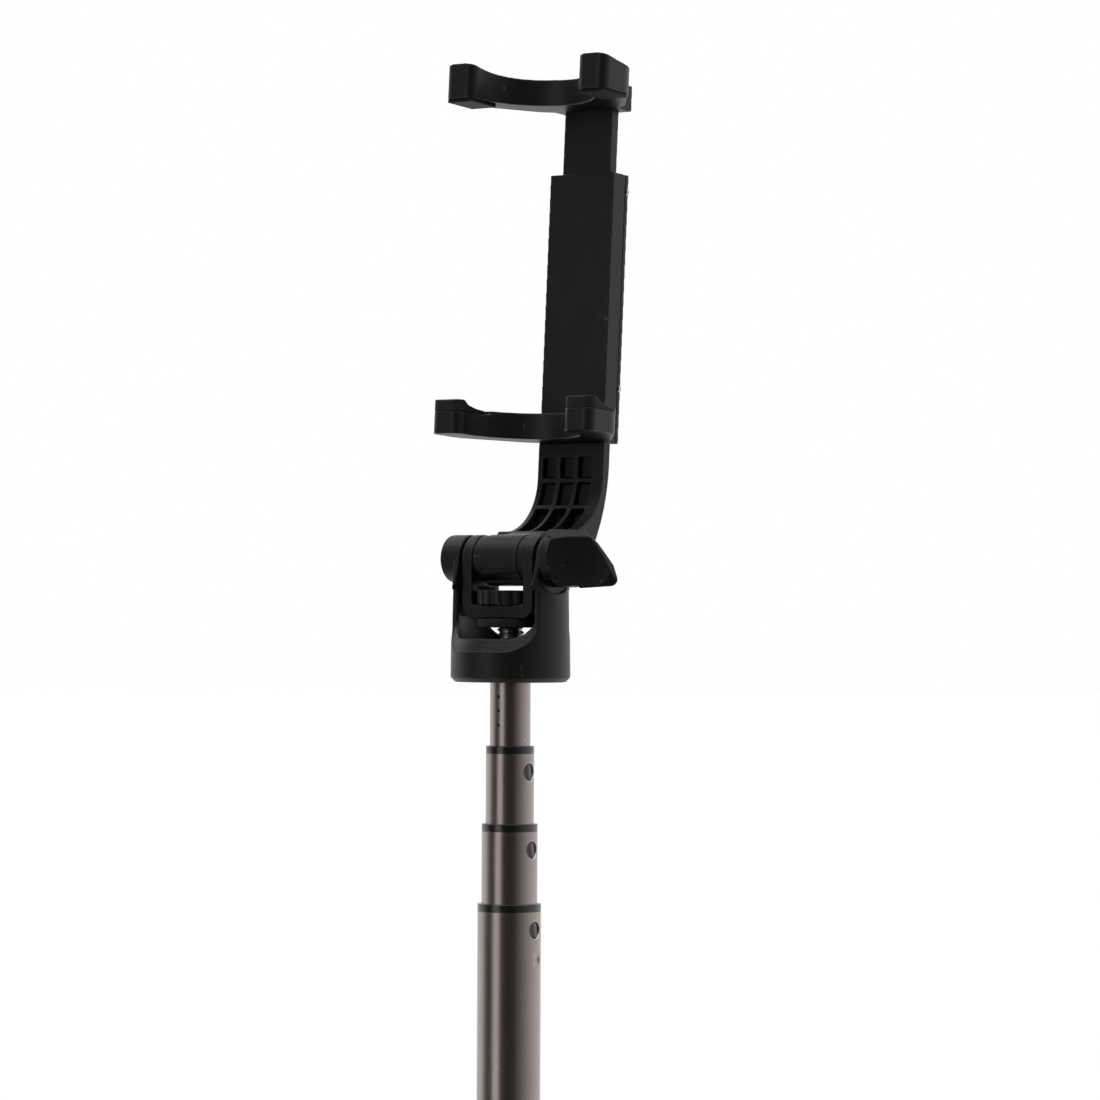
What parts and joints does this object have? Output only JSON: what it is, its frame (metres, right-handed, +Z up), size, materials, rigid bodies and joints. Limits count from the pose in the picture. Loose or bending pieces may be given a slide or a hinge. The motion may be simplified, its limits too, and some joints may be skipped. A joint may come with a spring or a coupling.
{
  "type": "selfie stick",
  "caption": "Telescopic selfie stick with a sprung phone clamp on a folding arm, a flip-out camera screw, a clamp lever, a tripod handle and a docked shutter remote.",
  "frame": {"origin": "seat of the camera screw, on the stick's axis", "axes": "+Z up along the stick, -Y towards the phone's screen side, +X towards the clamp lever"},
  "size_m": [0.145, 0.1279, 0.3983],
  "materials": {
    "black_plastic": "fine moulded texture, satin matte",
    "grey_plastic": "plain moulded, satin",
    "rubber_pad": "matte",
    "bronze_tube": "satin bronze anodised",
    "steel": "turned",
    "circuit_board": "lacquered",
    "battery": "polished"
  },
  "bodies": {
    "handle": {"hub": "black_plastic", "hub_cap": "black_plastic", "tube_5": "bronze_tube", "bottom_plug": "black_plastic", "leg_pins": "steel"},
    "leg_a": {"leg_1": "black_plastic", "foot_1": "rubber_pad"},
    "leg_b": {"leg_2": "black_plastic", "foot_2": "rubber_pad"},
    "leg_c": {"leg_3": "black_plastic", "foot_3": "rubber_pad"},
    "section_4": {"tube_4": "bronze_tube", "collar_4": "black_plastic", "glide_4": "grey_plastic"},
    "section_3": {"tube_3": "bronze_tube", "collar_3": "black_plastic", "glide_3": "grey_plastic"},
    "section_2": {"tube_2": "bronze_tube", "collar_2": "black_plastic", "glide_2": "grey_plastic"},
    "section_1": {"tube_1": "bronze_tube", "glide_1": "grey_plastic", "top_plug": "grey_plastic", "swivel_screw": "steel"},
    "head": {"cup": "black_plastic", "boss_cap": "black_plastic", "hinge_nut": "steel", "friction_washers": "black_plastic", "swivel_washer": "steel"},
    "lever": {"lever_wing": "black_plastic", "hinge_pin": "steel"},
    "camera_mount": {"yoke": "black_plastic", "yoke_pad": "rubber_pad"},
    "screw_wheel": {"thumbwheel": "black_plastic", "camera_screw": "steel"},
    "phone_arm": {"arm": "black_plastic", "clamp_base": "black_plastic", "housing_cover": "black_plastic", "cover_screws": "steel", "arm_screws": "steel", "lower_pads": "rubber_pad", "clamp_spring": "steel"},
    "moving_jaw": {"slider": "black_plastic", "upper_jaw": "black_plastic", "upper_pads": "rubber_pad", "jaw_screws": "steel"},
    "remote": {"remote_shell": "black_plastic", "remote_back": "black_plastic", "remote_dome": "rubber_pad", "remote_board": "circuit_board", "coin_cell": "battery"},
    "shutter": {"remote_button": "grey_plastic"}
  },
  "joints": [
    {"name": "slide_4", "type": "slide", "parent": "handle", "child": "section_4", "axis": [0, 0, 1], "range_m": [-0.05, 0.068]},
    {"name": "slide_3", "type": "slide", "parent": "section_4", "child": "section_3", "axis": [0, 0, 1], "range_m": [-0.0183, 0.1]},
    {"name": "slide_2", "type": "slide", "parent": "section_3", "child": "section_2", "axis": [0, 0, 1], "range_m": [-0.0178, 0.1]},
    {"name": "slide_1", "type": "slide", "parent": "section_2", "child": "section_1", "axis": [0, 0, 1], "range_m": [-0.0145, 0.104]},
    {"name": "head_swivel", "type": "hinge", "parent": "section_1", "child": "head", "pos_m": [0, 0, -0.0125], "axis": [0, 0, 1], "continuous": true},
    {"name": "arm_tilt", "type": "hinge", "parent": "head", "child": "phone_arm", "pos_m": [0, 0, 0.0158], "axis": [1, 0, 0], "range_deg": [-15, 183.6]},
    {"name": "clamp_slide", "type": "slide", "parent": "phone_arm", "child": "moving_jaw", "axis": [0, 0.0628, 0.998], "range_m": [-0.012, 0.016], "deforming": ["clamp_spring"]},
    {"name": "mount_flip", "type": "hinge", "parent": "head", "child": "camera_mount", "pos_m": [0, 0, 0.0158], "axis": [1, 0, 0], "range_deg": [-180, 0]},
    {"name": "screw_spin", "type": "hinge", "parent": "camera_mount", "child": "screw_wheel", "pos_m": [0, 0, 0], "axis": [0, 0, 1], "continuous": true},
    {"name": "lever_turn", "type": "hinge", "parent": "head", "child": "lever", "pos_m": [0.01245, 0, 0.0158], "axis": [1, 0, 0], "range_deg": [0, 180]},
    {"name": "leg_fold_a", "type": "hinge", "parent": "handle", "child": "leg_a", "pos_m": [0, -0.0111, -0.1991], "axis": [1, 0, 0], "range_deg": [0, 45]},
    {"name": "leg_fold_b", "type": "hinge", "parent": "handle", "child": "leg_b", "pos_m": [0.00961, 0.00555, -0.1991], "axis": [-0.5, 0.866, 0], "range_deg": [0, 45]},
    {"name": "leg_fold_c", "type": "hinge", "parent": "handle", "child": "leg_c", "pos_m": [-0.00961, 0.00555, -0.1991], "axis": [-0.5, -0.866, 0], "range_deg": [0, 45]},
    {"name": "remote_release", "type": "slide", "parent": "handle", "child": "remote", "axis": [0, -1, 0], "range_m": [0, 0.012]},
    {"name": "shutter_press", "type": "slide", "parent": "remote", "child": "shutter", "axis": [0, 1, 0], "range_m": [0, 0.0003], "stiffness_N_per_m": 3000}
  ]
}
